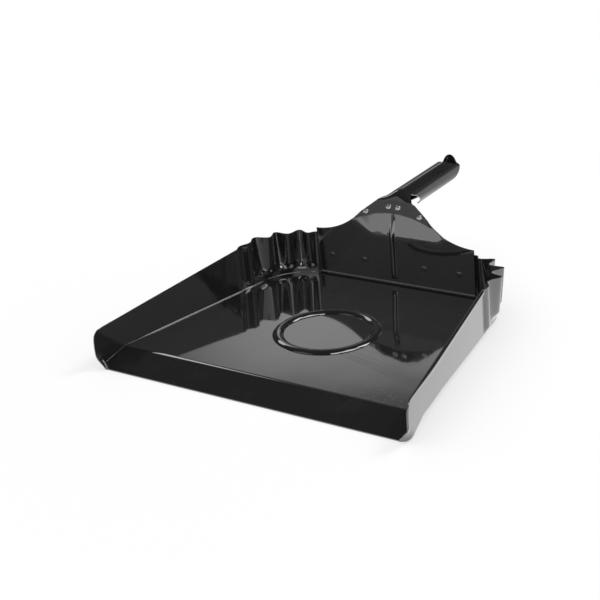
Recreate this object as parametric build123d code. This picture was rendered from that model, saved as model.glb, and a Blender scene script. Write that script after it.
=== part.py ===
from build123d import *
import math
import os

# Pressed-steel dustpan: tray, back panel, rolled handle and the rivets that join them.
# Millimetres, +Z up, front lip towards -Y, handle towards +Y, resting on the plane z = 0.
# Sizes along the length are first measured from the front lip, then moved so that the
# middle of the whole length lies at y = 0.

# Sheet
SHEET = 1.0

# Tray plan
LIP_WIDTH = 305.0
REAR_WIDTH = 233.0
TRAY_DEPTH = 251.5
CORNER_RADIUS = 50.0

# Tray side view
RAMP_RUN = 30.0
CREST_HEIGHT = 9.0
RIM_HEIGHT_FRONT = 34.6
RIM_HEIGHT_CORNER = 47.0
RIM_HEIGHT_REAR = 42.6
EAR_BULGE = 2.0
EAR_CORNER_RADIUS = 9.0

# Corner flutes
FLUTE_COUNT = 3
FLUTE_FIRST_ANGLE = 8.0
FLUTE_PITCH_ANGLE = 24.5
FLUTE_GROOVE_ANGLE = 11.0
FLUTE_RISE = 8.0
FLUTE_SINK = 3.5
FLUTE_FOOT_HEIGHT = 4.0
FLUTE_FOOT_SHARE = 0.25
FLUTE_RUN_IN = 8.5
FLUTE_RUN_OUT = 12.8
FLUTE_TAIL = 5.0
SIDE_RIDGE_RISE = 3.2
SIDE_RIDGE_LENGTH = 16.0

# Hems
HEM_THICKNESS = 1.6
HEM_HEIGHT = 4.0
LIP_HEM_DEPTH = 8.0

# Floor bead
BEAD_RADIUS = 43.2
BEAD_WIDTH = 10.0
BEAD_HEIGHT = 2.4
BEAD_FROM_LIP = 129.3

# Back panel
PANEL_CORNER_GAP = 2.0
PANEL_FLOOR_GAP = 0.4
PANEL_END_RISE = 5.1
PANEL_SHOULDER_X = 54.0
PANEL_SHOULDER_RISE = 7.4
PANEL_BEND_RISE = 7.4
PANEL_LEAN = 12.0
HUMP_RISE = 38.8
HUMP_SETBACK = 1.2
HUMP_TOP_HALF_WIDTH = 18.5
HUMP_FOOT_HALF_WIDTH = 34.5
HUMP_FOOT_DROP = 12.0
RIB_WIDTH = 6.5
RIB_HEIGHT = 2.4
RIB_BOTTOM = 6.0
RIB_TOP_DROP = 11.5

# Handle
TUBE_RADIUS = 11.4
TUBE_LENGTH = 100.0
TUBE_END_RADIUS = 3.5
TUBE_FRONT_SLANT = 18.0
TUBE_FRONT_BULGE = 3.2
NECK_RUN = 18.3
NECK_RISE = 8.4
NECK_SECTIONS = 10
NECK_TAPER = 1.6
NECK_ROOT_SPREAD = 2.0
NECK_END_SPREAD = 60.0
SEAM_GAP = 3.0
SEAM_FRONT_GAP = 16.0
SEAM_TAPER = 50.0
SADDLE_TIP_HALF_WIDTH = 39.5
SADDLE_TIP_DROP = 18.6
SADDLE_ARCH_DROP = 10.0
NOTCH_LENGTH = 16.0
NOTCH_DEPTH = 7.5
HANG_BAND = 4.0

# Rivets
RIVET_SHANK_RADIUS = 2.0
RIVET_HEAD_RADIUS = 2.8
SADDLE_RIVET_HEAD_HEIGHT = 1.9
PANEL_RIVET_HEAD_HEIGHT = 0.7
RIVET_TAIL_RADIUS = 2.8
RIVET_TAIL_HEIGHT = 1.2
RIVET_CLEARANCE = 0.3
PANEL_RIVET_HEIGHT = 22.0
PANEL_RIVET_FROM_END = 16.0
PANEL_RIVET_INNER_X = 32.0
SADDLE_RIVET_WING_X = 28.0
SADDLE_RIVET_WING_DROP = 11.0
SADDLE_RIVET_NECK_X = 5.0
SADDLE_RIVET_NECK_DROP = 5.0

# Slope of each side wall in plan, and the floor's fall from the crest to the rear
side_slope = (LIP_WIDTH - REAR_WIDTH) / 2 / TRAY_DEPTH
side_angle = math.atan(side_slope)
floor_run = TRAY_DEPTH - RAMP_RUN
floor_fall = CREST_HEIGHT - SHEET
floor_angle = math.atan(floor_fall / floor_run)

# Reach of the cutting bodies, past the part on every side
reach = LIP_WIDTH + TRAY_DEPTH

# Faces of the panel, which stands against the rear wall, and heights that follow the rear rim
lean = math.radians(PANEL_LEAN)
sheet_across = SHEET / math.cos(lean)
panel_back = TRAY_DEPTH - SHEET
panel_front = panel_back - SHEET
panel_end_height = RIM_HEIGHT_REAR + PANEL_END_RISE
bend_height = RIM_HEIGHT_REAR + PANEL_BEND_RISE
hump_height = RIM_HEIGHT_REAR + HUMP_RISE
hump_foot_height = hump_height - HUMP_FOOT_DROP
saddle_tip_height = hump_height - SADDLE_TIP_DROP


def inside(*lines):
    """The face inside the outline that lines and arcs make together."""
    return Face(Wire([edge for line in lines for edge in line.edges()]))


def side_view(*lines):
    """A solid of full width from an outline in side view."""
    return extrude(inside(*lines), amount=reach / 2, dir=(1, 0, 0), both=True)


def side_x(y, inset=0.0):
    """Half width of the tray's outside at a distance y from the lip, less an inset."""
    return LIP_WIDTH / 2 - side_slope * y - inset / math.cos(side_angle)


def floor_top(y):
    """Height of the floor's top face behind the crest."""
    return CREST_HEIGHT - (y - RAMP_RUN) * math.tan(floor_angle)


def rim_height(y):
    """Height of the rim, which rises from the ears to the flutes and falls from there to the rear."""
    if y < flutes_from_lip:
        return RIM_HEIGHT_FRONT + (RIM_HEIGHT_CORNER - RIM_HEIGHT_FRONT) * y / flutes_from_lip
    share = (y - flutes_from_lip) / (TRAY_DEPTH - flutes_from_lip)
    return RIM_HEIGHT_CORNER + (RIM_HEIGHT_REAR - RIM_HEIGHT_CORNER) * share


def panel_front_at(z):
    """Distance of the panel's front face from the lip, at a height."""
    return panel_front + max(0.0, z - bend_height) * math.tan(lean)


# Centre of each rear corner's arc, touching the side wall and the rear wall
corner_y = TRAY_DEPTH - CORNER_RADIUS
corner_x = side_x(corner_y) - CORNER_RADIUS / math.cos(side_angle)

# Where the flutes leave the side wall and reach the rear wall, and the panel's ends beside them
flutes_from_lip = corner_y - FLUTE_RUN_IN
side_ridge_from_lip = flutes_from_lip - SIDE_RIDGE_LENGTH
flutes_end_x = corner_x + FLUTE_RUN_OUT
panel_half_width = flutes_end_x - PANEL_CORNER_GAP

# Ends of the neck and the tube, and the middle of the whole length from ears to tube end
neck_start = panel_front_at(hump_height) - sheet_across
tube_start = neck_start + NECK_RUN
tube_end = tube_start + TUBE_LENGTH
tube_top = hump_height + NECK_RISE
tube_axis_height = tube_top - TUBE_RADIUS
middle = (tube_end - EAR_BULGE) / 2


def corner_point(angle, radius, side, z):
    """A point at an angle round a rear corner, on the right (1) or the left (-1)."""
    x = corner_x + radius * math.cos(math.radians(angle))
    y = corner_y + radius * math.sin(math.radians(angle))
    return (side * x, y, z)


def corner_edge(share, inset, side, z):
    """The corner's outline from the side wall to the rear wall, running anticlockwise.

    Ridges and grooves stand off the corner's arc by a share of their full depth. A low ridge
    on the side wall leads in to them and has its full depth from their feet up.
    """
    radius = CORNER_RADIUS - inset
    lead_in = SIDE_RIDGE_RISE * min(1.0, share / FLUTE_FOOT_SHARE)
    ridge_y = (side_ridge_from_lip + flutes_from_lip) / 2
    points = []
    for y, rise in ((side_ridge_from_lip, 0.0), (ridge_y, lead_in), (flutes_from_lip, 0.0)):
        points.append((side * (side_x(y, inset) + rise), y, z))
    for index in range(FLUTE_COUNT):
        ridge = FLUTE_FIRST_ANGLE + FLUTE_PITCH_ANGLE * index
        groove = ridge + FLUTE_GROOVE_ANGLE
        points.append(corner_point(ridge, radius + share * FLUTE_RISE, side, z))
        points.append(corner_point(groove, radius - share * FLUTE_SINK, side, z))
    for x in (flutes_end_x, flutes_end_x - FLUTE_TAIL):
        points.append((side * x, TRAY_DEPTH - inset, z))
    return Spline(points if side > 0 else points[::-1])


def tray_outline(share, inset, front, z):
    """The tray's outline in plan as a face, from a line at the front to the rear wall."""
    right = corner_edge(share, inset, 1, z)
    left = corner_edge(share, inset, -1, z)
    front_right = (side_x(front, inset), front, z)
    front_left = (-side_x(front, inset), front, z)
    return inside(
        Line(front_left, front_right),
        Line(front_right, right @ 0),
        right,
        Line(right @ 1, left @ 0),
        left,
        Line(left @ 1, front_left),
    )


def tray_body(inset, front):
    """The tray's plan raised through the flutes' feet to above the rim."""
    levels = [(0.0, -SHEET), (FLUTE_FOOT_SHARE, FLUTE_FOOT_HEIGHT), (1.0, RIM_HEIGHT_CORNER + HEM_HEIGHT)]
    return loft([tray_outline(share, inset, front, z) for share, z in levels], ruled=True)


def at(y, z):
    return (0, y, z)


def floor_sheet():
    """Lip, ramp, crest and floor as one sheet of full width."""
    far = TRAY_DEPTH + SHEET
    top = Polyline(at(0, SHEET), at(RAMP_RUN, CREST_HEIGHT), at(far, floor_top(far)))
    bottom = Polyline(at(far, floor_top(far) - SHEET), at(RAMP_RUN, CREST_HEIGHT - SHEET), at(0, 0))
    return side_view(top, Line(top @ 1, bottom @ 0), bottom, Line(bottom @ 1, top @ 0))


def wall_view():
    """What the walls fill in side view: rounded ear, sloping rim, and the floor's underside."""
    far = TRAY_DEPTH + CORNER_RADIUS
    lip = at(0, 0)
    ear_top = at(0, RIM_HEIGHT_FRONT)
    ear = ThreePointArc(lip, at(-EAR_BULGE, RIM_HEIGHT_FRONT / 2), ear_top)
    crest = at(RAMP_RUN, CREST_HEIGHT - SHEET)
    peak = at(flutes_from_lip, RIM_HEIGHT_CORNER)
    rest = Polyline(ear_top, peak, at(far, rim_height(far)), at(far, floor_top(far) - SHEET), crest, lip)
    outline = inside(ear, rest)
    corner = outline.vertices().sort_by_distance(ear_top)[0]
    outline = outline.fillet_2d(EAR_CORNER_RADIUS, [corner])
    return extrude(outline, amount=reach / 2, dir=(1, 0, 0), both=True)


def rim_hem(side):
    """The rim folded outwards along one side wall."""
    start = EAR_CORNER_RADIUS
    end = side_ridge_from_lip
    out = (side * math.cos(side_angle), math.sin(side_angle), 0)
    foot = Vector(side * side_x(start), start, 0)
    tip = Vector(side * side_x(end), end, 0)
    corners = [
        foot + Vector(0, 0, rim_height(start)),
        tip + Vector(0, 0, rim_height(end)),
        tip + Vector(0, 0, rim_height(end) - HEM_HEIGHT),
        foot + Vector(0, 0, rim_height(start) - HEM_HEIGHT),
    ]
    return extrude(inside(Polyline(*corners, close=True)), amount=HEM_THICKNESS, dir=out)


def lip_hem():
    """The lip folded back under the ramp."""
    slope = (CREST_HEIGHT - SHEET) / RAMP_RUN
    back = LIP_HEM_DEPTH
    return side_view(Polyline(at(0, 0), at(back, slope * back), at(back, 0), close=True))


def bead_section(lift):
    """Half-round section of the floor bead, in a plane with x outwards and y up."""
    near = BEAD_RADIUS - BEAD_WIDTH / 2
    far = BEAD_RADIUS + BEAD_WIDTH / 2
    arc = ThreePointArc((near, lift), (BEAD_RADIUS, lift + BEAD_HEIGHT), (far, lift))
    foot = lift - SHEET
    rest = Polyline(arc @ 1, (far, foot), (near, foot), arc @ 0)
    return inside(arc, rest)


def floor_bead(lift):
    """The ring of the bead, standing on the sloping floor."""
    ring = revolve(Plane.XZ * bead_section(lift), axis=Axis.Z)
    tilt = -math.degrees(floor_angle)
    return Pos(0, BEAD_FROM_LIP, floor_top(BEAD_FROM_LIP)) * Rot(tilt, 0, 0) * ring


def rivet(y, z, x, head_height, grip, tilt):
    """A rivet with its domed head in front, its shank through the grip and its tail behind."""
    dome_radius = (RIVET_HEAD_RADIUS**2 + head_height**2) / (2 * head_height)
    ball = Pos(0, 0, head_height - dome_radius) * Sphere(dome_radius)
    head = ball & Pos(0, 0, head_height / 2) * Cylinder(2 * RIVET_HEAD_RADIUS, head_height)
    shank = Pos(0, 0, -grip / 2) * Cylinder(RIVET_SHANK_RADIUS, grip)
    tail = Pos(0, 0, -grip - RIVET_TAIL_HEIGHT / 2) * Cylinder(RIVET_TAIL_RADIUS, RIVET_TAIL_HEIGHT)
    return Pos(x, y, z) * Rot(90 - tilt, 0, 0) * (head + shank + tail)


def rivet_hole(y, z, x, tilt):
    """The hole through the sheets for a rivet."""
    radius = RIVET_SHANK_RADIUS + RIVET_CLEARANCE
    return Pos(x, y, z) * Rot(90 - tilt, 0, 0) * Cylinder(radius, 8 * SHEET)


def panel_sheet():
    """The panel in side view: upright, then leaning back."""
    bottom = floor_top(panel_front) + PANEL_FLOOR_GAP
    bend_back = bend_height - SHEET * math.tan(lean / 2)
    top = hump_height - HUMP_SETBACK
    top_front = panel_front_at(top)
    top_back = top_front + sheet_across
    front = Polyline(at(panel_front, bottom), at(panel_front, bend_height), at(top_front, top))
    back = Polyline(at(top_back, top), at(panel_back, bend_back), at(panel_back, bottom))
    return side_view(front, Line(front @ 1, back @ 0), back, Line(back @ 1, front @ 0))


def panel_front_view():
    """The panel's outline from the front: level ends, then shoulders rising to the hump."""
    half = panel_half_width

    def flat(x, z):
        return (x, 0, z)

    right = ThreePointArc(
        flat(half, panel_end_height),
        flat(PANEL_SHOULDER_X, panel_end_height + PANEL_SHOULDER_RISE),
        flat(HUMP_FOOT_HALF_WIDTH, hump_foot_height),
    )
    left = ThreePointArc(
        flat(-HUMP_FOOT_HALF_WIDTH, hump_foot_height),
        flat(-PANEL_SHOULDER_X, panel_end_height + PANEL_SHOULDER_RISE),
        flat(-half, panel_end_height),
    )
    top = Polyline(
        right @ 1,
        flat(HUMP_TOP_HALF_WIDTH, hump_height),
        flat(-HUMP_TOP_HALF_WIDTH, hump_height),
        left @ 0,
    )
    bottom = Polyline(left @ 1, flat(-half, 0), flat(half, 0), right @ 0)
    return extrude(inside(right, top, left, bottom), amount=reach, dir=(0, 1, 0))


def panel_rib(sink):
    """The half-round rib on the panel's front, or the same sunk by a sheet for its hollow."""
    half = RIB_WIDTH / 2
    bottom = RIB_BOTTOM + sink
    top = hump_height - RIB_TOP_DROP - sink
    front = panel_front + sink
    back = panel_back + sink

    def rib_face(z):
        arc = ThreePointArc((half, front, z), (0, front - RIB_HEIGHT, z), (-half, front, z))
        rest = Polyline(arc @ 1, (-half, back, z), (half, back, z), arc @ 0)
        return inside(arc, rest)

    upright = extrude(rib_face(bottom), amount=bend_height - bottom, dir=(0, 0, 1))
    length = (top - bend_height) / math.cos(lean)
    leaning = extrude(rib_face(bend_height), amount=length, dir=(0, math.sin(lean), math.cos(lean)))
    return upright + leaning


def saddle_plate():
    """The handle's flat root, lying on the panel's leaning hump."""
    foot = saddle_tip_height
    back = Polyline(at(panel_front_at(hump_height), hump_height), at(panel_front_at(foot), foot))
    front = Polyline(at(panel_front_at(foot) - sheet_across, foot), at(neck_start, hump_height))
    sheet = side_view(front, Line(front @ 1, back @ 0), back, Line(back @ 1, front @ 0))

    def flat(x, z):
        return (x, 0, z)

    tip = SADDLE_TIP_HALF_WIDTH
    outline = Polyline(
        flat(tip, saddle_tip_height),
        flat(HUMP_FOOT_HALF_WIDTH, hump_foot_height),
        flat(HUMP_TOP_HALF_WIDTH, hump_height),
        flat(-HUMP_TOP_HALF_WIDTH, hump_height),
        flat(-HUMP_FOOT_HALF_WIDTH, hump_foot_height),
        flat(-tip, saddle_tip_height),
    )
    arch = ThreePointArc(outline @ 1, flat(0, hump_height - SADDLE_ARCH_DROP), outline @ 0)
    return sheet & extrude(inside(outline, arch), amount=reach, dir=(0, 1, 0))


def neck_section(y, z, climb, radius, spread):
    """A curved strip of sheet across the neck, its crown at (y, z), facing along the climb."""
    climb = math.radians(climb)
    plane = Plane(origin=(0, y, z), x_dir=(1, 0, 0), z_dir=(0, math.cos(climb), math.sin(climb)))
    inner = radius - SHEET

    def on(angle, distance):
        angle = math.radians(angle)
        return (distance * math.sin(angle), radius - distance * math.cos(angle))

    crown = ThreePointArc(on(-spread, radius), on(0, radius), on(spread, radius))
    hollow = ThreePointArc(on(spread, inner), on(0, inner), on(-spread, inner))
    return plane * inside(crown, Line(crown @ 1, hollow @ 0), hollow, Line(hollow @ 1, crown @ 0))


def handle_neck():
    """The neck: a strip that bends back from the saddle and rolls into the tube's crown.

    Its crown follows a parabola that leaves the saddle in line and meets the tube level.
    """
    turn = neck_start + NECK_RISE * math.tan(lean)
    end_half_width = TUBE_RADIUS * math.sin(math.radians(NECK_END_SPREAD))
    sections = []
    for index in range(NECK_SECTIONS):
        t = index / (NECK_SECTIONS - 1)
        y = (1 - t) ** 2 * neck_start + 2 * t * (1 - t) * turn + t**2 * tube_start
        z = tube_top - (1 - t) ** 2 * NECK_RISE
        forward = (1 - t) * (turn - neck_start) + t * (tube_start - turn)
        upward = (1 - t) * NECK_RISE
        climb = math.degrees(math.atan2(upward, forward))
        half_width = end_half_width + (HUMP_TOP_HALF_WIDTH - end_half_width) * (1 - t) ** NECK_TAPER
        spread = max(NECK_ROOT_SPREAD, NECK_END_SPREAD * math.sin(math.pi / 2 * t))
        radius = half_width / math.sin(math.radians(spread))
        sections.append(neck_section(y, z, climb, radius, spread))
    return loft(sections, ruled=True)


def rounded_rod(radius, end_radius):
    """A rod as long as the tube, its far end rounded."""
    rod = Cylinder(radius, TUBE_LENGTH)
    far_edge = rod.edges().filter_by(GeomType.CIRCLE).sort_by(Axis.Z)[-1]
    return fillet(far_edge, end_radius)


def handle_tube():
    """The rolled grip: slanted front, seam that narrows underneath, rounded end and hanging notch."""
    skin = rounded_rod(TUBE_RADIUS, TUBE_END_RADIUS)
    bore = Pos(0, 0, -SHEET) * rounded_rod(TUBE_RADIUS - SHEET, TUBE_END_RADIUS - SHEET)
    tube = Pos(0, (tube_start + tube_end) / 2, tube_axis_height) * Rot(-90, 0, 0) * (skin - bore)

    tube_bottom = tube_axis_height - TUBE_RADIUS
    seam_end = tube_end - TUBE_END_RADIUS
    seam_narrow = tube_start + SEAM_TAPER
    seam_outline = Polyline(
        (SEAM_FRONT_GAP / 2, tube_start),
        (SEAM_GAP / 2, seam_narrow),
        (SEAM_GAP / 2, seam_end),
        (-SEAM_GAP / 2, seam_end),
        (-SEAM_GAP / 2, seam_narrow),
        (-SEAM_FRONT_GAP / 2, tube_start),
        close=True,
    )
    seam = Pos(0, 0, tube_bottom - SHEET) * extrude(inside(seam_outline), amount=TUBE_RADIUS / 2 + SHEET)

    neck_edge = tube_axis_height + TUBE_RADIUS * math.cos(math.radians(NECK_END_SPREAD))
    front_middle = at(tube_start + TUBE_FRONT_SLANT / 2 + TUBE_FRONT_BULGE, (neck_edge + tube_bottom) / 2)
    front_foot = at(tube_start + TUBE_FRONT_SLANT, tube_bottom)
    slant = ThreePointArc(at(tube_start, neck_edge), front_middle, front_foot)
    slant_rest = Polyline(slant @ 1, at(tube_start, tube_bottom), slant @ 0)
    notch_end = tube_end - HANG_BAND
    notch = Polyline(
        at(notch_end - NOTCH_LENGTH, tube_top),
        at(notch_end, tube_top - NOTCH_DEPTH),
        at(notch_end, tube_top),
        close=True,
    )
    return tube - seam - side_view(slant, slant_rest) - side_view(notch)


# Rivet places: the node, how far it stands right of the middle, and its height on the saddle
panel_rivet_outer_x = panel_half_width - PANEL_RIVET_FROM_END
wing_height = hump_height - SADDLE_RIVET_WING_DROP
neck_height = hump_height - SADDLE_RIVET_NECK_DROP
panel_rivets = [
    ("panel_rivet_outer_right", panel_rivet_outer_x),
    ("panel_rivet_outer_left", -panel_rivet_outer_x),
    ("panel_rivet_inner_right", PANEL_RIVET_INNER_X),
    ("panel_rivet_inner_left", -PANEL_RIVET_INNER_X),
]
saddle_rivets = [
    ("saddle_rivet_wing_right", SADDLE_RIVET_WING_X, wing_height),
    ("saddle_rivet_wing_left", -SADDLE_RIVET_WING_X, wing_height),
    ("saddle_rivet_neck_right", SADDLE_RIVET_NECK_X, neck_height),
    ("saddle_rivet_neck_left", -SADDLE_RIVET_NECK_X, neck_height),
]

# Tray: walls between an outer and an inner body, trimmed in side view, with the floor sheet
outer = tray_body(0.0, -2 * EAR_BULGE)
inner = tray_body(SHEET, -4 * EAR_BULGE)
walls = (outer - inner) & wall_view()
floor = (floor_sheet() + lip_hem()) & outer
tray = walls + floor + rim_hem(1) + rim_hem(-1)
tray = tray + floor_bead(0.0) - floor_bead(-SHEET)

panel = (panel_sheet() & panel_front_view()) + panel_rib(0.0) - panel_rib(SHEET)
handle = saddle_plate() + handle_neck() + handle_tube()

nodes = {}
for name, x in panel_rivets:
    nodes[name] = rivet(panel_front, PANEL_RIVET_HEIGHT, x, PANEL_RIVET_HEAD_HEIGHT, 2 * SHEET, 0.0)
    hole = rivet_hole(panel_front, PANEL_RIVET_HEIGHT, x, 0.0)
    tray = tray - hole
    panel = panel - hole
for name, x, z in saddle_rivets:
    y = panel_front_at(z) - sheet_across
    nodes[name] = rivet(y, z, x, SADDLE_RIVET_HEAD_HEIGHT, 2 * SHEET, PANEL_LEAN)
    hole = rivet_hole(y, z, x, PANEL_LEAN)
    panel = panel - hole
    handle = handle - hole

nodes["pan_tray"] = tray
nodes["back_panel"] = panel
nodes["handle"] = handle

os.makedirs("parts", exist_ok=True)
for name, shape in nodes.items():
    export_step(Pos(0, -middle, 0) * shape, f"parts/{name}.step")
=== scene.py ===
import math

import bmesh
import bpy
import numpy as np
from mathutils import Matrix, Vector


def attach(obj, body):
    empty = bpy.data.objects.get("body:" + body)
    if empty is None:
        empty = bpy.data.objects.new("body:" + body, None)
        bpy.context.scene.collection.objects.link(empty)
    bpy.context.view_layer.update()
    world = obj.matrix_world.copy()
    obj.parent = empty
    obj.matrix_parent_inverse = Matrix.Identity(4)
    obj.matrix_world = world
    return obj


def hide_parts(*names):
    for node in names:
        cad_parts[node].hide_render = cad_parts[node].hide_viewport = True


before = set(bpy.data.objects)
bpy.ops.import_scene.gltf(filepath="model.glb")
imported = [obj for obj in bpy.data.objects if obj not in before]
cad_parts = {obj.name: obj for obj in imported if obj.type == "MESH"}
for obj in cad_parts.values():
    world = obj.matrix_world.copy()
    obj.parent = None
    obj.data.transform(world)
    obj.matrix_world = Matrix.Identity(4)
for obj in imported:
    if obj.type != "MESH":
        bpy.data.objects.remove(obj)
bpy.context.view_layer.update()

# A pressed-steel dustpan in gloss black enamel, with plated rivets in its saddle.
# Sizes are millimetres, measured from the front lip (y), the middle (x) and the ground (z),
# and become metres about the frame's origin when a mesh is made.
MM = 0.001

# Sheet and tray
SHEET = 1.0
LIP_WIDTH = 305.0
REAR_WIDTH = 233.0
TRAY_DEPTH = 251.5
CORNER_RADIUS = 50.0
RAMP_RUN = 30.0
CREST_HEIGHT = 9.0
CREST_BEND = 2.2
RIM_HEIGHT_FRONT = 34.6
RIM_HEIGHT_CORNER = 47.0
RIM_HEIGHT_REAR = 42.6
EAR_BULGE = 2.0
EAR_CORNER_RADIUS = 9.0
EAR_PEAK_ANGLE = math.radians(121.0)
EAR_REACH = 45.0
EAR_TOP_RUN = 12.0
NOSE_RADIUS = 8.0
NOSE_RISE = 12.0
WALL_FILLET = 1.5
FRONT_FILLET = 0.16
FRONT_FILLET_TO = 40.0
WALL_FILLET_FROM = 75.0

# Corner flutes, their angles in degrees round the corner;
# the fillet at their foot shrinks between two shares of the way round
FLUTE_COUNT = 3
FLUTE_FIRST_ANGLE = 8.0
FLUTE_PITCH_ANGLE = 24.5
FLUTE_GROOVE_ANGLE = 11.0
FLUTE_RISE = 8.0
FLUTE_SINK = 3.5
REAR_FILLET = 0.5
REAR_FILLET_FROM = 0.1
REAR_FILLET_TO = 0.35
FLUTE_FOOT_LOW = 4.0
FLUTE_FOOT_RISE = 7.0
FLUTE_FOOT_SHARE = 0.55
FLUTE_RUN_IN = 8.5
FLUTE_RUN_OUT = 12.8
FLUTE_TAIL = 5.0
SIDE_RIDGE_RISE = 3.2
SIDE_RIDGE_LENGTH = 16.0

# Hems and floor bead
HEM_THICKNESS = 1.6
HEM_HEIGHT = 4.0
HEM_EDGE = 0.2
HEM_EDGE_HEIGHT = 2.2
HEM_SLOPE = math.radians(30.0)
HEM_GROWTH = (5.0, 60.0)
EAR_HEM_START = 12.0
LIP_HEM_DEPTH = 8.0
LIP_HEM_END_HEIGHT = 0.8
LIP_HEM_CROWN = (4.8, 0.9)
LIP_NOSE_RADIUS = 0.55
LIP_NOSE_LAP = 0.2
BEAD_RADIUS = 43.2
BEAD_WIDTH = 10.0
BEAD_HEIGHT = 2.4
BEAD_FROM_LIP = 129.3

# Back panel
PANEL_CORNER_GAP = 2.0
PANEL_FLOOR_GAP = 0.4
PANEL_END_RISE = 5.1
PANEL_SHOULDER_X = 54.0
PANEL_SHOULDER_RISE = 7.4
PANEL_BEND_RISE = 7.4
PANEL_BEND_SPAN = 4.0
PANEL_LEAN = math.radians(12.0)
PANEL_BEND_CLIMB = 13.0
PANEL_BEND_FROM = 18.0
PANEL_BEND_TO = 42.0
PANEL_BEND_RIGHT_CLIMB = 10.0
PANEL_BEND_RIGHT_FROM = 46.0
PANEL_BEND_RIGHT_TO = 62.0
PANEL_COVE = 1.6
PANEL_COVE_START = math.radians(36.0)
HUMP_RISE = 38.8
HUMP_SETBACK = 1.2
HUMP_TOP_HALF_WIDTH = 18.5
HUMP_FOOT_HALF_WIDTH = 34.5
HUMP_FOOT_DROP = 12.0
RIB_WIDTH = 6.5
RIB_HEIGHT = 2.4
RIB_BOTTOM = 6.0
RIB_TOP_DROP = 11.5
RIB_FADE = 5.0
RIB_END = 17.0
RIB_ROUNDNESS = 1.5

# Handle
TUBE_RADIUS = 11.4
TUBE_LENGTH = 100.0
TUBE_END_RADIUS = 3.5
TUBE_END_SLANT = 9.0
TUBE_FRONT_SLANT = 18.0
TUBE_FRONT_BULGE = 3.2
NECK_RUN = 18.3
NECK_RISE = 8.4
NECK_TAPER = 1.6
NECK_ROOT_SPREAD = math.radians(2.0)
NECK_END_SPREAD = math.radians(60.0)
SEAM_GAP = 3.0
SEAM_FRONT_GAP = 16.0
SEAM_TAPER = 50.0
SADDLE_TIP_HALF_WIDTH = 39.5
SADDLE_TIP_DROP = 18.6
SADDLE_ARCH_DROP = 10.0
SADDLE_TILT = 2.5
NOTCH_LENGTH = 16.0
NOTCH_DEPTH = 7.5
HANG_BAND = 4.0
HANG_LIP_RISE = 2.3
HANG_LIP_TAPER = 0.3
HANG_LIP_TAPER_SPAN = 0.25

# Rivets
RIVET_HEAD_RADIUS = 2.8
SADDLE_RIVET_HEAD_HEIGHT = 1.9
PANEL_RIVET_HEAD_HEIGHT = 0.7
RIVET_TAIL_RADIUS = 2.8
RIVET_TAIL_HEIGHT = 1.2
RIVET_TAIL_BEVEL = (0.3, 0.35)
RIVET_TAIL_ROUNDING = (0.15, 0.2)
RIVET_DISH_DEPTH = 0.15
RIVET_DISH_BED = (1.26, 0.12)
RIVET_DISH_RADIUS = 1.68
RIVET_FLANGE_SHARE = 0.3
PANEL_RIVET_HEIGHT = 22.0
PANEL_RIVET_FROM_END = 16.0
PANEL_RIVET_INNER_X = 32.0
SADDLE_RIVET_WING_X = 28.0
SADDLE_RIVET_WING_DROP = 11.0
SADDLE_RIVET_NECK_X = 5.0
SADDLE_RIVET_NECK_DROP = 5.0

# Meshes: how edges are softened and points welded
SHEET_SOFTENING = 0.25
HEM_SOFTENING = 0.15
RIVET_SOFTENING = 0.08
SOFTENING_STEPS = 2
SHARP_ANGLE = math.radians(50)
FLAT_FACE_WEIGHT = 80
WELD_DISTANCE = 0.02
SPECK_LENGTH = 0.005
TOLERANCE = 0.01

# Meshes: where points lie, as degrees of a turn, shares of a height or millimetres, and how many there are
FILLET_TURNS = (0, 12, 24, 36, 48, 60, 72, 82, 90)
WALL_FOOT_SHARES = (0.03, 0.45)
WALL_FOOT_ROWS = 15
WALL_RIM_ROWS = 6
EAR_STATIONS = (0.0, 1.5, 3.0, 5.0, 7.5, 10.0, 12.5, 15.5, 19.0, 22.5, 25.5)
CREST_STATIONS = 9
WALL_STEP = 6.0
FLUTE_STEPS = 150
BEAD_STEPS = 144
BEAD_ROWS = 25
HEM_EAR_ROWS = 9
HEM_SIDE_ROWS = 24
HEM_FOLD_STEPS = 6
LIP_NOSE_POINTS = 7
RIB_COLUMNS = 15
PANEL_COLUMNS = 34
PANEL_ROWS = 61
PANEL_COVE_ROWS = 7
SADDLE_HALVINGS = 14
SADDLE_ROWS = 17
HALF_COLUMNS = 13
NECK_ROWS = 33
TUBE_ROWS = 25
TUBE_NOTCH_COLUMNS = 3
TUBE_SIDE_COLUMNS = 15
TUBE_BAND_ROWS = 4
TUBE_END_ROWS = 7
TUBE_END_SHARES = (0.75, 0.5, 0.25, 0.0)
RIVET_DOME_ROWS = 11
RIVET_STEPS = 40

# Enamel and plating: linear colours, roughness from glossy to dull places, and heights of relief
ENAMEL = (0.012, 0.012, 0.013)
ENAMEL_DUSTY = (0.019, 0.019, 0.020)
ENAMEL_WORN = (0.075, 0.073, 0.072)
ENAMEL_IOR = 1.8
ENAMEL_ROUGHNESS = (0.04, 0.09)
COAT_ROUGHNESS = 0.03
WEAR_TINT = 0.5
WEAR_ROUGHNESS = 0.25
WAVE_HEIGHT = 0.18
PEEL_HEIGHT = 0.012
PLATING_DULL = (0.5, 0.5, 0.51)
PLATING_BRIGHT = (0.75, 0.75, 0.76)
PLATING_ROUGHNESS = (0.34, 0.5)
GRAIN_HEIGHT = 0.02

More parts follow.
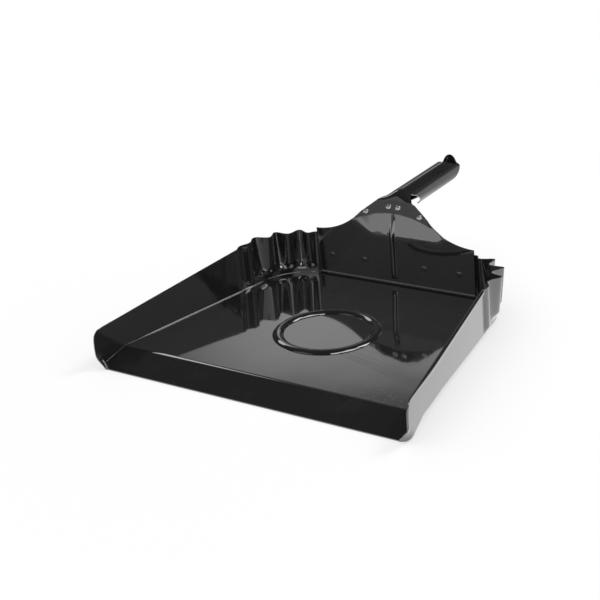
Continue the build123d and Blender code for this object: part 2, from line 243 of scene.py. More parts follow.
# Noises as scale, detail and roughness, and the ranges of noise or pointiness that show
DUST_NOISE = (38.0, 5.0, 0.65)
DUST_RANGE = (0.52, 0.78)
EDGE_RANGE = (0.56, 0.72)
CHIP_NOISE = (420.0, 3.0, 0.6)
CHIP_RANGE = (0.5, 0.68)
CLOUD_NOISE = (16.0, 3.0, 0.5)
CLOUD_RANGE = (0.3, 0.75)
WAVE_NOISE = (14.0, 1.0, 0.5)
PEEL_NOISE = (520.0, 2.0, 0.5)
PATCH_NOISE = (300.0, 4.0, 0.6)
PATCH_RANGE = (0.3, 0.7)
GRAIN_NOISE = (1800.0, 2.0, 0.5)

# Studio: what gloss sees round the part, as grey levels at the sine of the height above level.
# Each card has a heading from +Y towards +X, a half width and a fade in degrees, and its levels.
# Light that falls on dull places is an even white.
HORIZON_LEVELS = ((0.0, 0.6), (0.06, 0.5), (0.16, 0.04), (1.0, 0.02))
BACK_CARD = (-30.0, 4.0, 10.0, (
    (0.0, 0.12), (0.31, 0.12), (0.34, 0.6), (0.38, 0.62), (0.4, 0.54), (0.415, 0.36), (0.43, 0.14),
    (0.54, 0.15), (0.6, 0.04), (1.0, 0.02),
))
CREST_CARD = (-58.0, 12.0, 5.0, ((0.0, 0.0), (0.47, 0.0), (0.5, 1.7), (0.62, 1.7), (0.65, 0.0), (1.0, 0.0)))
RIGHT_CARD = (68.0, 22.0, 8.0, ((0.0, 0.3), (0.15, 0.24), (0.5, 0.24), (0.6, 0.02), (1.0, 0.02)))
FRONT_CARD = (-145.0, 18.0, 8.0, (
    (0.0, 1.0), (0.06, 1.0), (0.14, 0.3), (0.5, 0.25), (0.6, 0.35), (0.85, 0.35), (0.9, 0.02), (1.0, 0.02),
))
CAMERA_CARD = (152.0, 22.0, 8.0, (
    (0.0, 1.3), (0.24, 1.3), (0.34, 0.8), (0.5, 0.6), (0.6, 0.02), (1.0, 0.02),
))
KEY_CARD = (38.0, 8.0, 4.0, (
    (0.0, 0.3), (0.06, 0.1), (0.6, 0.03), (0.64, 4.0), (0.82, 4.0), (0.86, 0.02), (1.0, 0.02),
))
TOP_CARD = (95.0, 40.0, 6.0, ((0.0, 0.0), (0.74, 0.0), (0.78, 3.0), (0.92, 3.0), (0.95, 0.0), (1.0, 0.0)))
EVEN_LIGHT = 0.85

# Floor, in metres: half its size, its grey, the distances between which it turns white to the camera
# with its share of white near the part, and the run behind the part over which its reflection dims
FLOOR_HALF = 6.0
FLOOR_GREY = 0.93
FLOOR_WHITENING = (0.24, 0.5, 0.55)
FLOOR_BEHIND = (0.12, 0.3, 0.4)

# Lamps: place and size in metres, and power in watts
KEY_LAMP = ((0.7, 0.9, 1.3), 0.45, 8.0)
FILL_LAMP = ((-0.9, -0.7, 1.4), 1.6, 3.0)

# Camera, fitted to the tray's edges, its ring and paired points in the photograph:
# its place, which way its right and up point, and its lens
CAMERA_PLACE = (554.16, -683.54, 473.74)
CAMERA_RIGHT = (0.8330, 0.54609, -0.0889)
CAMERA_UP = (-0.15508, 0.38469, 0.90993)
CAMERA_LENS = 74.81
CAMERA_SENSOR = 36.0

# Values that follow from the sizes
side_slope = (LIP_WIDTH - REAR_WIDTH) / 2 / TRAY_DEPTH
side_angle = math.atan(side_slope)
ramp_slope = (CREST_HEIGHT - SHEET) / RAMP_RUN
floor_slope = -(CREST_HEIGHT - SHEET) / (TRAY_DEPTH - RAMP_RUN)
sheet_across = SHEET / math.cos(PANEL_LEAN)
panel_back = TRAY_DEPTH - SHEET
panel_front = panel_back - SHEET
panel_end_height = RIM_HEIGHT_REAR + PANEL_END_RISE
bend_height = RIM_HEIGHT_REAR + PANEL_BEND_RISE
hump_height = RIM_HEIGHT_REAR + HUMP_RISE
hump_foot_height = hump_height - HUMP_FOOT_DROP
saddle_tip_height = hump_height - SADDLE_TIP_DROP


def side_x(y, inset=0.0):
    """Half width of the tray's outside at a distance y from the lip, less an inset."""
    return LIP_WIDTH / 2 - side_slope * y - inset / math.cos(side_angle)


def rim_height(y):
    """Height of the rim, which rises from the ears to the flutes and falls from there to the rear."""
    if y < flutes_from_lip:
        return RIM_HEIGHT_FRONT + (RIM_HEIGHT_CORNER - RIM_HEIGHT_FRONT) * y / flutes_from_lip
    share = (y - flutes_from_lip) / (TRAY_DEPTH - flutes_from_lip)
    return RIM_HEIGHT_CORNER + (RIM_HEIGHT_REAR - RIM_HEIGHT_CORNER) * share


def floor_height(y):
    """Top of the ramp and the floor, with the crest bent round."""
    run = y - (RAMP_RUN - CREST_BEND)
    if run <= 0:
        return SHEET + ramp_slope * y
    if run >= 2 * CREST_BEND:
        return CREST_HEIGHT + floor_slope * (y - RAMP_RUN)
    return SHEET + ramp_slope * y + (floor_slope - ramp_slope) * run**2 / (4 * CREST_BEND)


def panel_front_at(z, x=0.0):
    """Distance of the panel's front face from the lip, bent back round a line that climbs to both sides."""
    climb = PANEL_BEND_CLIMB * smooth(-x, PANEL_BEND_FROM, PANEL_BEND_TO)
    climb += PANEL_BEND_RIGHT_CLIMB * smooth(x, PANEL_BEND_RIGHT_FROM, PANEL_BEND_RIGHT_TO)
    rise = z - bend_height - climb
    if rise <= -PANEL_BEND_SPAN:
        return panel_front
    if rise >= PANEL_BEND_SPAN:
        return panel_front + rise * math.tan(PANEL_LEAN)
    return panel_front + math.tan(PANEL_LEAN) * (rise + PANEL_BEND_SPAN) ** 2 / (4 * PANEL_BEND_SPAN)


def clamp(share):
    """A share held between 0 and 1."""
    return min(1.0, max(0.0, share))


def smooth(value, low, high):
    """A smooth step from 0 at low to 1 at high."""
    t = clamp((value - low) / (high - low))
    return t * t * (3 - 2 * t)


corner_y = TRAY_DEPTH - CORNER_RADIUS
corner_x = side_x(corner_y) - CORNER_RADIUS / math.cos(side_angle)
flutes_from_lip = corner_y - FLUTE_RUN_IN
side_ridge_from_lip = flutes_from_lip - SIDE_RIDGE_LENGTH
flutes_end_x = corner_x + FLUTE_RUN_OUT
panel_half_width = flutes_end_x - PANEL_CORNER_GAP
neck_start = panel_front + (hump_height - bend_height) * math.tan(PANEL_LEAN) - sheet_across
tube_start = neck_start + NECK_RUN
tube_end = tube_start + TUBE_LENGTH
tube_top = hump_height + NECK_RISE
tube_axis_height = tube_top - TUBE_RADIUS
notch_end = tube_end - HANG_BAND
middle = (tube_end - EAR_BULGE) / 2


def metres(point):
    """A point in millimetres from the lip, as metres in the frame."""
    return Vector((point[0] * MM, (point[1] - middle) * MM, point[2] * MM))


# Meshes

def add_grid(bm, rows, closed=False):
    """Quads between rows of points, each row as long as the next."""
    made = [[bm.verts.new(metres(point)) for point in row] for row in rows]
    for near, far in zip(made, made[1:]):
        count = len(near)
        for index in range(count if closed else count - 1):
            after = (index + 1) % count
            bm.faces.new((near[index], near[after], far[after], far[index]))
    return made


def add_bar(bm, rows):
    """A closed bar through rows of points, with a face at each end."""
    made = add_grid(bm, rows, closed=True)
    bm.faces.new(made[0])
    bm.faces.new(made[-1])
    bmesh.ops.recalc_face_normals(bm, faces=bm.faces)


def weld(bm):
    """Join points that coincide, and drop what the joining left without area."""
    bmesh.ops.remove_doubles(bm, verts=bm.verts, dist=WELD_DISTANCE * MM)
    bmesh.ops.dissolve_degenerate(bm, edges=bm.edges, dist=SPECK_LENGTH * MM)


def face_towards(bm, point, direction):
    """Turn all faces so that the one nearest to a point looks along a direction."""
    bmesh.ops.recalc_face_normals(bm, faces=bm.faces)
    target = metres(point)
    bm.normal_update()
    nearest = min(bm.faces, key=lambda face: (face.calc_center_median() - target).length)
    if nearest.normal.dot(Vector(direction)) < 0:
        bmesh.ops.reverse_faces(bm, faces=bm.faces)


def show(thing):
    """Put an object in the scene."""
    bpy.context.scene.collection.objects.link(thing)


def make_piece(bm, name, material, node):
    """A smooth-shaded object from a mesh, riding on the body and standing for a node."""
    mesh = bpy.data.meshes.new(name)
    bm.to_mesh(mesh)
    bm.free()
    mesh.polygons.foreach_set("use_smooth", [True] * len(mesh.polygons))
    mesh.materials.append(material)
    piece = bpy.data.objects.new(name, mesh)
    show(piece)
    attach(piece, "root")
    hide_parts(node)
    return piece


def thicken(piece):
    """Give a sheet its thickness behind its face, with softened edges."""
    solid = piece.modifiers.new("sheet", "SOLIDIFY")
    solid.thickness = SHEET * MM
    solid.offset = -1.0
    solid.use_even_offset = True
    soften(piece, SHEET_SOFTENING)


def soften(piece, width):
    """Round the sharp edges a little and keep broad faces flat."""
    bevel = piece.modifiers.new("edges", "BEVEL")
    bevel.width = width * MM
    bevel.segments = SOFTENING_STEPS
    bevel.limit_method = "ANGLE"
    bevel.angle_limit = SHARP_ANGLE
    bevel.use_clamp_overlap = True
    weighted = piece.modifiers.new("normals", "WEIGHTED_NORMAL")
    weighted.mode = "FACE_AREA"
    weighted.weight = FLAT_FACE_WEIGHT


# Tray

def natural_cubic(knots, values, at):
    """The natural cubic curve through values at knots, read at other places."""
    gaps = np.diff(knots)
    size = len(knots)
    system = np.eye(size)
    right = np.zeros((size, values.shape[1]))
    for i in range(1, size - 1):
        system[i, i - 1] = gaps[i - 1]
        system[i, i] = 2 * (gaps[i - 1] + gaps[i])
        system[i, i + 1] = gaps[i]
        right[i] = 6 * ((values[i + 1] - values[i]) / gaps[i] - (values[i] - values[i - 1]) / gaps[i - 1])
    bend = np.linalg.solve(system, right)
    span = np.clip(np.searchsorted(knots, at, side="right") - 1, 0, size - 2)
    gap = gaps[span][:, None]
    after = (at - knots[span])[:, None]
    before = gap - after
    line = (values[span] * before + values[span + 1] * after) / gap
    curve = bend[span] * (before**3 / gap - gap * before) + bend[span + 1] * (after**3 / gap - gap * after)
    return line + curve / 6


def corner_controls(share, inset):
    """Places on the right rear corner that its fluted outline passes through."""
    radius = CORNER_RADIUS - inset
    ridge_y = (side_ridge_from_lip + flutes_from_lip) / 2
    points = [
        (side_x(side_ridge_from_lip, inset), side_ridge_from_lip),
        (side_x(ridge_y, inset) + share * SIDE_RIDGE_RISE, ridge_y),
        (side_x(flutes_from_lip, inset), flutes_from_lip),
    ]
    for index in range(FLUTE_COUNT):
        ridge = math.radians(FLUTE_FIRST_ANGLE + FLUTE_PITCH_ANGLE * index)
        groove = ridge + math.radians(FLUTE_GROOVE_ANGLE)
        for angle, reach in ((ridge, radius + share * FLUTE_RISE), (groove, radius - share * FLUTE_SINK)):
            points.append((corner_x + reach * math.cos(angle), corner_y + reach * math.sin(angle)))
    points += [(x, TRAY_DEPTH - inset) for x in (flutes_end_x, flutes_end_x - FLUTE_TAIL)]
    return np.array(points)


def corner_outlines():
    """The right corner's inner outline without and with flutes, at the same steps."""
    plain = corner_controls(0.0, SHEET)
    fluted = corner_controls(1.0, SHEET)
    knots = np.concatenate([[0.0], np.cumsum(np.linalg.norm(np.diff(fluted, axis=0), axis=1))])
    at = np.linspace(0.0, knots[-1], FLUTE_STEPS)
    return natural_cubic(knots, plain, at), natural_cubic(knots, fluted, at)


def flute_share(height, top):
    """How much of the flutes' depth shows at a height: spooned feet, then even growth to the rim."""
    high = FLUTE_FOOT_LOW + FLUTE_FOOT_RISE
    upper = clamp((height - high) / (top - high))
    return FLUTE_FOOT_SHARE * smooth(height, FLUTE_FOOT_LOW, high) + (1 - FLUTE_FOOT_SHARE) * upper


def ear_outline():
    """The front arc's centre and radius, the corner arc's centre, and the height where the two meet."""
    half = RIM_HEIGHT_FRONT / 2
    radius = (half**2 + EAR_BULGE**2) / (2 * EAR_BULGE)
    centre = (radius - EAR_BULGE, half)
    slope = (RIM_HEIGHT_CORNER - RIM_HEIGHT_FRONT) / flutes_from_lip
    drop = EAR_CORNER_RADIUS * math.sqrt(1 + slope**2)
    reach = radius - EAR_CORNER_RADIUS
    low = RIM_HEIGHT_FRONT - drop - half
    a = 1 + slope**2
    b = 2 * (slope * low - centre[0])
    c = centre[0] ** 2 + low**2 - reach**2
    y = (-b - math.sqrt(b**2 - 4 * a * c)) / (2 * a)
    corner = (y, half + low + slope * y)
    meet = centre[1] + (corner[1] - centre[1]) * radius / reach
    return centre, radius, corner, meet


ear_centre, ear_radius, ear_corner, ear_meet = ear_outline()


def ear_arc(angle):
    """A point on the ear's corner arc."""
    return (
        ear_corner[0] + EAR_CORNER_RADIUS * math.cos(angle),
        ear_corner[1] + EAR_CORNER_RADIUS * math.sin(angle),
    )


ear_peak = ear_arc(EAR_PEAK_ANGLE)


def ear_front(z):
    """Distance of the ear's front edge from the lip at a height."""
    if z <= ear_meet:
        return ear_centre[0] - math.sqrt(ear_radius**2 - (z - ear_centre[1]) ** 2)
    return ear_corner[0] - math.sqrt(max(0.0, EAR_CORNER_RADIUS**2 - (z - ear_corner[1]) ** 2))


def rim_top(y):
    """Height of the rim, rounded over at the ear."""
    if y >= ear_corner[0]:
        return rim_height(y)
    rounded = ear_corner[1] + math.sqrt(max(0.0, EAR_CORNER_RADIUS**2 - (y - ear_corner[0]) ** 2))
    return min(rounded, rim_height(y))


def wall_steps(fillet, rise):
    """Steps up a wall: each one's height above the foot, and how far it stands in from the wall."""
    steps = []
    for turn in FILLET_TURNS:
        angle = math.radians(turn)
        steps.append((fillet * (1 - math.cos(angle)), fillet * (1 - math.sin(angle))))
    feet = np.linspace(*WALL_FOOT_SHARES, WALL_FOOT_ROWS)
    upper = np.linspace(WALL_FOOT_SHARES[1], 1.0, WALL_RIM_ROWS)[1:]
    for share in (*feet, *upper):
        steps.append((fillet + (rise - fillet) * share, 0.0))
    return steps


def side_stations():
    """Distances from the lip of the rows across the ramp and the side walls."""
    crest = [RAMP_RUN + CREST_BEND * share for share in np.linspace(-1.0, 1.0, CREST_STATIONS)]
    wall = np.arange(RAMP_RUN + 2 * CREST_BEND, side_ridge_from_lip - SHEET, WALL_STEP)
    return [*EAR_STATIONS, *crest, *wall, side_ridge_from_lip]


def nose_inset(y, height):
    """How far the front corner is drawn in, close to the lip and to the floor."""
    run = clamp(y / NOSE_RADIUS)
    rounding = NOSE_RADIUS * (1 - math.sqrt(1 - (1 - run) ** 2))
    return rounding * (1 - smooth(height, 0.0, NOSE_RISE))


def side_column(y):
    """Points up the right wall's inner face, from the floor to the rim, at a station."""
    outward = np.array([math.cos(side_angle), math.sin(side_angle)])
    fillet = FRONT_FILLET + (WALL_FILLET - FRONT_FILLET) * smooth(y, FRONT_FILLET_TO, WALL_FILLET_FROM)
    foot = floor_height(y)
    if y < EAR_TOP_RUN:
        top_y = ear_peak[0] + (EAR_TOP_RUN - ear_peak[0]) * y / EAR_TOP_RUN
    else:
        top_y = y
    top = rim_top(top_y)
    front_foot = floor_height(0.0)
    ear = 1 - smooth(y, 0.0, EAR_REACH)
    points = []
    for height, inset in wall_steps(fillet, top - foot):
        share = height / (top - foot)
        place = (1 - share) * y + share * top_y
        front_z = front_foot + share * (ear_peak[1] - front_foot)
        straight = share * ear_peak[0]
        shift = ear * (ear_front(front_z) - straight) if share > 0 else 0.0
        along = place + shift
        x = side_x(along, SHEET) - inset * outward[0] - nose_inset(y, height)
        points.append((x, along - inset * outward[1], foot + height))
    return points


def corner_columns():
    """Points up the right corner's inner face at each step round it."""
    plain, fluted = corner_outlines()
    columns = []
    for index in range(FLUTE_STEPS):
        before = plain[max(0, index - 1)]
        after = plain[min(FLUTE_STEPS - 1, index + 1)]
        along = (after - before) / np.linalg.norm(after - before)
        outward = np.array([along[1], -along[0]])
        rear = smooth(index / FLUTE_STEPS, REAR_FILLET_FROM, REAR_FILLET_TO)
        fillet = WALL_FILLET + (REAR_FILLET - WALL_FILLET) * rear
        foot = floor_height(plain[index][1])
        top = rim_height(fluted[index][1])
        points = []
        for height, inset in wall_steps(fillet, top - foot):
            if fluted[index][1] < flutes_from_lip:
                share = smooth(height, 0.0, FLUTE_FOOT_RISE)
            else:
                share = flute_share(height, RIM_HEIGHT_CORNER + HEM_HEIGHT - foot)
            place = plain[index] + share * (fluted[index] - plain[index]) - inset * outward
            lift = floor_height(place[1]) - foot if height < fillet else 0.0
            points.append((place[0], place[1], foot + height + lift))
        columns.append(points)
    return columns


def bead_rows():
    """Rings of points over the bead's round section, from its inside to its outside."""
    half = BEAD_WIDTH / 2
    radius = (half**2 + BEAD_HEIGHT**2) / (2 * BEAD_HEIGHT)
    limit = math.asin(half / radius)
    rows = []
    for turn in np.linspace(-limit, limit, BEAD_ROWS):
        distance = BEAD_RADIUS + radius * math.sin(turn)
        rise = BEAD_HEIGHT - radius * (1 - math.cos(turn))
        row = []
        for step in range(BEAD_STEPS):
            angle = 2 * math.pi * step / BEAD_STEPS
            x = distance * math.cos(angle)
            y = BEAD_FROM_LIP + distance * math.sin(angle)
            row.append((x, y, floor_height(y) + rise))
        rows.append(row)
    return rows


def mirror(rows):
    """Rows of points on the right, as rows on the left."""
    return [[(-x, y, z) for x, y, z in row] for row in rows]


def fill_flat(bm, loops):
    """Fill the flat region between closed loops of points."""
    edges = []
    for loop in loops:
        made = [bm.verts.new(metres(point)) for point in loop]
        edges += [bm.edges.new((a, b)) for a, b in zip(made, made[1:] + made[:1])]
    bmesh.ops.triangle_fill(bm, use_beauty=True, edges=edges, normal=(0, 0, 1))


def build_tray(material):
    """The tray's inner face as one sheet, thickened outwards."""
    bm = bmesh.new()
    stations = side_stations()
    right = [side_column(y) for y in stations]
    corner = corner_columns()
    rear_right = corner[-1]
    rear_left = mirror([rear_right])[0]
    wall = right + corner[1:]
    add_grid(bm, wall)
    add_grid(bm, mirror(wall))
    add_grid(bm, [rear_right, rear_left])
    flat_from = RAMP_RUN + CREST_BEND
    ramp = [column[0] for column, y in zip(right, stations) if y <= flat_from + TOLERANCE]
    add_grid(bm, [[(-x, y, z), (x, y, z)] for x, y, z in ramp])
    edge = [column[0] for column in wall if column[0][1] >= ramp[-1][1] - TOLERANCE]
    outline = edge + mirror([edge[::-1]])[0]
    bead = bead_rows()
    fill_flat(bm, [outline, bead[-1]])
    made = add_grid(bm, bead, closed=True)
    bm.faces.new(made[0])
    weld(bm)
    face_towards(bm, (0, BEAD_FROM_LIP, floor_height(BEAD_FROM_LIP)), (0, 0, 1))
    tray = make_piece(bm, "pan_tray_sheet", material, "pan_tray")
    thicken(tray)


def fold_outline(width, height):
    """A closed outline with a ridged top and a round bottom, about its middle."""
    radius = width / 2
    shoulder = height / 2 - radius * math.tan(HEM_SLOPE)
    points = [(radius, shoulder), (0.0, height / 2), (-radius, shoulder)]
    for step in range(HEM_FOLD_STEPS + 1):
        angle = math.pi + math.pi * step / HEM_FOLD_STEPS
        points.append((radius * math.cos(angle), radius - height / 2 + radius * math.sin(angle)))
    return points


def build_rim_hem(name, side, material):
    """The folded rim along one side, rounded over the ear and closed at both ends."""
    path = []
    for z in np.linspace(floor_height(0.0) + EAR_HEM_START, ear_meet, HEM_EAR_ROWS):
        path.append((ear_front(z), z))
    start = math.atan2(ear_meet - ear_corner[1], ear_front(ear_meet) - ear_corner[0])
    for angle in np.linspace(start, math.pi / 2, HEM_EAR_ROWS)[1:]:
        path.append(ear_arc(angle))
    for y in np.linspace(EAR_CORNER_RADIUS, side_ridge_from_lip, HEM_SIDE_ROWS):
        path.append((y, rim_height(y)))
    bm = bmesh.new()
    rows = []
    for index, (y, z) in enumerate(path):
        before = path[max(0, index - 1)]
        after = path[min(len(path) - 1, index + 1)]
        length = math.hypot(after[0] - before[0], after[1] - before[1])
        inward = ((after[1] - before[1]) / length, -(after[0] - before[0]) / length)
        grown = smooth(y, *HEM_GROWTH)
        fold = HEM_EDGE + (HEM_THICKNESS - HEM_EDGE) * grown
        height = HEM_EDGE_HEIGHT + (HEM_HEIGHT - HEM_EDGE_HEIGHT) * grown
        row = []
        for across, up in fold_outline(SHEET + fold, height):
            depth = height / 2 - up
            x = side_x(y) + (fold - SHEET) / 2 + across - nose_inset(y, z - floor_height(0.0))
            row.append((side * x, y + inward[0] * depth, z + inward[1] * depth))
        rows.append(row)
    add_bar(bm, rows)
    hem = make_piece(bm, name, material, "pan_tray")
    soften(hem, HEM_SOFTENING)


def build_lip_hem(material):
    """The lip folded back under the ramp, cut off square where the front corners are drawn in."""
    profile = []
    for angle in np.linspace(math.pi / 2 + LIP_NOSE_LAP, 3 * math.pi / 2, LIP_NOSE_POINTS):
        profile.append((LIP_NOSE_RADIUS * (1 + math.cos(angle)), LIP_NOSE_RADIUS * (1 + math.sin(angle))))
    profile += [(LIP_HEM_DEPTH, 0.0), (LIP_HEM_DEPTH, LIP_HEM_END_HEIGHT), LIP_HEM_CROWN]
    bm = bmesh.new()
    rows = []
    for side in (-1, 1):
        rows.append([(side * (side_x(y) - NOSE_RADIUS), y, z) for y, z in profile])
    add_bar(bm, rows)
    hem = make_piece(bm, "pan_tray_lip_hem", material, "pan_tray")
    soften(hem, HEM_SOFTENING)


# Back panel

def circle_through(a, b, c):
    """Centre and radius of the circle through three points."""
    system = 2 * np.array([[b[0] - a[0], b[1] - a[1]], [c[0] - a[0], c[1] - a[1]]])
    squares = [b[0] ** 2 - a[0] ** 2 + b[1] ** 2 - a[1] ** 2, c[0] ** 2 - a[0] ** 2 + c[1] ** 2 - a[1] ** 2]
    centre = np.linalg.solve(system, squares)
    return centre, math.dist(centre, a)


shoulder_centre, shoulder_radius = circle_through(
    (panel_half_width, panel_end_height),
    (PANEL_SHOULDER_X, panel_end_height + PANEL_SHOULDER_RISE),
    (HUMP_FOOT_HALF_WIDTH, hump_foot_height),
)


def panel_top(x):
    """Height of the panel's top edge: hollow shoulders that rise to the hump."""
    x = abs(x)
    top = hump_height - HUMP_SETBACK
    if x >= HUMP_FOOT_HALF_WIDTH:
        return shoulder_centre[1] - math.sqrt(shoulder_radius**2 - (x - shoulder_centre[0]) ** 2)
    if x >= HUMP_TOP_HALF_WIDTH:
        share = (HUMP_FOOT_HALF_WIDTH - x) / (HUMP_FOOT_HALF_WIDTH - HUMP_TOP_HALF_WIDTH)
        return min(top, hump_foot_height + HUMP_FOOT_DROP * share)
    return top


def rib_rise(x, z):
    """How far the rib stands out of the panel's front."""
    across = abs(x) / (RIB_WIDTH / 2)
    if across >= 1.0:
        return 0.0
    top = hump_height - RIB_TOP_DROP
    ends = smooth(z, RIB_BOTTOM, RIB_BOTTOM + RIB_FADE) * clamp((top - z) / RIB_END)
    return RIB_HEIGHT * ends * math.cos(across * math.pi / 2) ** RIB_ROUNDNESS


def saddle_half(climb):
    """Half width of the saddle, from its tips (0) to the neck (1)."""
    side_z = saddle_tip_height + SADDLE_TIP_DROP * climb
    if side_z <= hump_foot_height:
        share = (side_z - saddle_tip_height) / (hump_foot_height - saddle_tip_height)
        return SADDLE_TIP_HALF_WIDTH + (HUMP_FOOT_HALF_WIDTH - SADDLE_TIP_HALF_WIDTH) * share
    share = (side_z - hump_foot_height) / HUMP_FOOT_DROP
    return HUMP_FOOT_HALF_WIDTH + (HUMP_TOP_HALF_WIDTH - HUMP_FOOT_HALF_WIDTH) * share


def saddle_height(climb, share):
    """Height on the saddle at a climb, from the middle (share 0) to either side (share 1)."""
    side_z = saddle_tip_height + SADDLE_TIP_DROP * climb
    middle_z = hump_height - SADDLE_ARCH_DROP * (1 - climb)
    return side_z + (middle_z - side_z) * (1 - share**2)


def saddle_climb(x, z):
    """The climb at a place on the hump, found by halving; 0 below the saddle's arch."""
    low = 0.0
    high = 1.0
    for _ in range(SADDLE_HALVINGS):
        climb = (low + high) / 2
        share = min(1.0, abs(x) / saddle_half(climb))
        if saddle_height(climb, share) < z:
            low = climb
        else:
            high = climb
    return (low + high) / 2


def hump_front(x, z):
    """Distance of the panel's front from the lip, tilted further back behind the saddle."""
    return panel_front_at(z, x) + SADDLE_TILT * saddle_climb(x, z)


def build_panel(material):
    """The panel's front face as one sheet with a coved foot, thickened backwards."""
    rib = list(np.linspace(-RIB_WIDTH / 2, RIB_WIDTH / 2, RIB_COLUMNS))
    outer = list(np.linspace(RIB_WIDTH / 2, panel_half_width, PANEL_COLUMNS)[1:])
    columns = [-x for x in outer[::-1]] + rib + outer
    bottom = floor_height(panel_front) + PANEL_FLOOR_GAP + SHEET
    bm = bmesh.new()
    rows = []
    for turn in np.linspace(PANEL_COVE_START, math.pi / 2, PANEL_COVE_ROWS)[:-1]:
        y = panel_front - PANEL_COVE * (1 - math.sin(turn))
        z = bottom + PANEL_COVE * (1 - math.cos(turn))
        rows.append([(x, y, z) for x in columns])
    start = bottom + PANEL_COVE
    for share in np.linspace(0.0, 1.0, PANEL_ROWS):
        row = []
        for x in columns:
            z = start + share * (panel_top(x) - start)
            row.append((x, hump_front(x, z) - rib_rise(x, z), z))
        rows.append(row)
    add_grid(bm, rows)
    weld(bm)
    face_towards(bm, (PANEL_SHOULDER_X, panel_front, PANEL_RIVET_HEIGHT), (0, -1, 0))
    panel = make_piece(bm, "back_panel_sheet", material, "back_panel")
    thicken(panel)


# Handle

def saddle_rows(shares):
    """Rows across the saddle's front face, from its arched lower edge to the neck."""
    rows = []
    for climb in np.linspace(0.0, 1.0, SADDLE_ROWS):
        row = []
        for share in shares:
            z = saddle_height(climb, share)
            x = saddle_half(climb) * share
            row.append((x, panel_front_at(z, x) + SADDLE_TILT * climb - sheet_across, z))
        rows.append(row)
    return rows


def neck_rows(shares):
    """Rows across the neck, which bends back and rolls into the tube's crown."""
    root = neck_start + SADDLE_TILT
    turn = root + NECK_RISE * (math.tan(PANEL_LEAN) + SADDLE_TILT / SADDLE_ARCH_DROP)
    end_half = TUBE_RADIUS * math.sin(NECK_END_SPREAD)
    rows = []
    for t in np.linspace(0.0, 1.0, NECK_ROWS)[1:]:
        y = (1 - t) ** 2 * root + 2 * t * (1 - t) * turn + t**2 * tube_start
        z = tube_top - (1 - t) ** 2 * NECK_RISE
        forward = (1 - t) * (turn - root) + t * (tube_start - turn)
        climb = math.atan2((1 - t) * NECK_RISE, forward)
        half = end_half + (HUMP_TOP_HALF_WIDTH - end_half) * (1 - t) ** NECK_TAPER
        spread = max(NECK_ROOT_SPREAD, NECK_END_SPREAD * math.sin(math.pi / 2 * t))
        radius = half / math.sin(spread)
        row = []
        for share in shares:
            angle = share * spread
            drop = radius * (1 - math.cos(angle))
            row.append((radius * math.sin(angle), y + drop * math.sin(climb), z - drop * math.cos(climb)))
        rows.append(row)
    return rows


def tube_point(angle, y, radius=TUBE_RADIUS):
    """A point on the tube, at an angle from its crown; behind the notch the crown is bent up."""
    floor_level = 1 - NOTCH_DEPTH / TUBE_RADIUS
    above = max(0.0, math.cos(angle) - floor_level) / (1 - floor_level)
    if y < notch_end:
        above = 0.0
    lift = HANG_LIP_RISE * above * radius / TUBE_RADIUS
    across = radius * math.sin(angle) * (1 - HANG_LIP_TAPER * smooth(above, 0.0, HANG_LIP_TAPER_SPAN))
    return (across, y, tube_axis_height + radius * math.cos(angle) + lift)


notch_angle = math.acos(1 - NOTCH_DEPTH / TUBE_RADIUS)
neck_edge = TUBE_RADIUS * math.cos(NECK_END_SPREAD)
front_centre, front_radius = circle_through(
    (0.0, neck_edge),
    (TUBE_FRONT_SLANT / 2 + TUBE_FRONT_BULGE, (neck_edge - TUBE_RADIUS) / 2),
    (TUBE_FRONT_SLANT, -TUBE_RADIUS),
)


def tube_front(angle):
    """Where the tube begins: at the neck round its crown, then on a slanted, bowed cut."""
    height = TUBE_RADIUS * math.cos(angle)
    if height >= neck_edge - TOLERANCE:
        return tube_start
    return tube_start + front_centre[0] + math.sqrt(front_radius**2 - (height - front_centre[1]) ** 2)


def end_slant(angle):
    """How much shorter than its crown the tube is, below the level of the notch."""
    level = math.cos(notch_angle)
    return TUBE_END_SLANT * max(0.0, level - math.cos(angle)) / (1 + level)


def notch_front(angle):
    """Where the hanging notch cuts the tube: a slope from the crown down to its upright end."""
    depth = min(NOTCH_DEPTH, TUBE_RADIUS * (1 - math.cos(angle)))
    return notch_end - NOTCH_LENGTH * (1 - depth / NOTCH_DEPTH) - end_slant(angle)


def seam_angle(y):
    """Angle from the crown to the seam's edge; the seam gapes at the front and narrows behind it."""
    gape = max(0.0, 1 - (y - tube_start) / SEAM_TAPER)
    gap = SEAM_GAP + (SEAM_FRONT_GAP - SEAM_GAP) * gape
    return math.pi - math.asin(gap / 2 / TUBE_RADIUS)


def towards_seam(angle, y):
    """An angle below the notch's level, drawn in so that the last one lies on the seam's edge."""
    size = abs(angle)
    if size <= notch_angle:
        return angle
    share = (size - notch_angle) / (seam_angle(tube_end) - notch_angle)
    return math.copysign(notch_angle + share * (seam_angle(y) - notch_angle), angle)


def end_point(angle, y, radius=TUBE_RADIUS):
    """A point on the tube's slanted end."""
    return tube_point(angle, y - end_slant(angle) * radius / TUBE_RADIUS, radius)


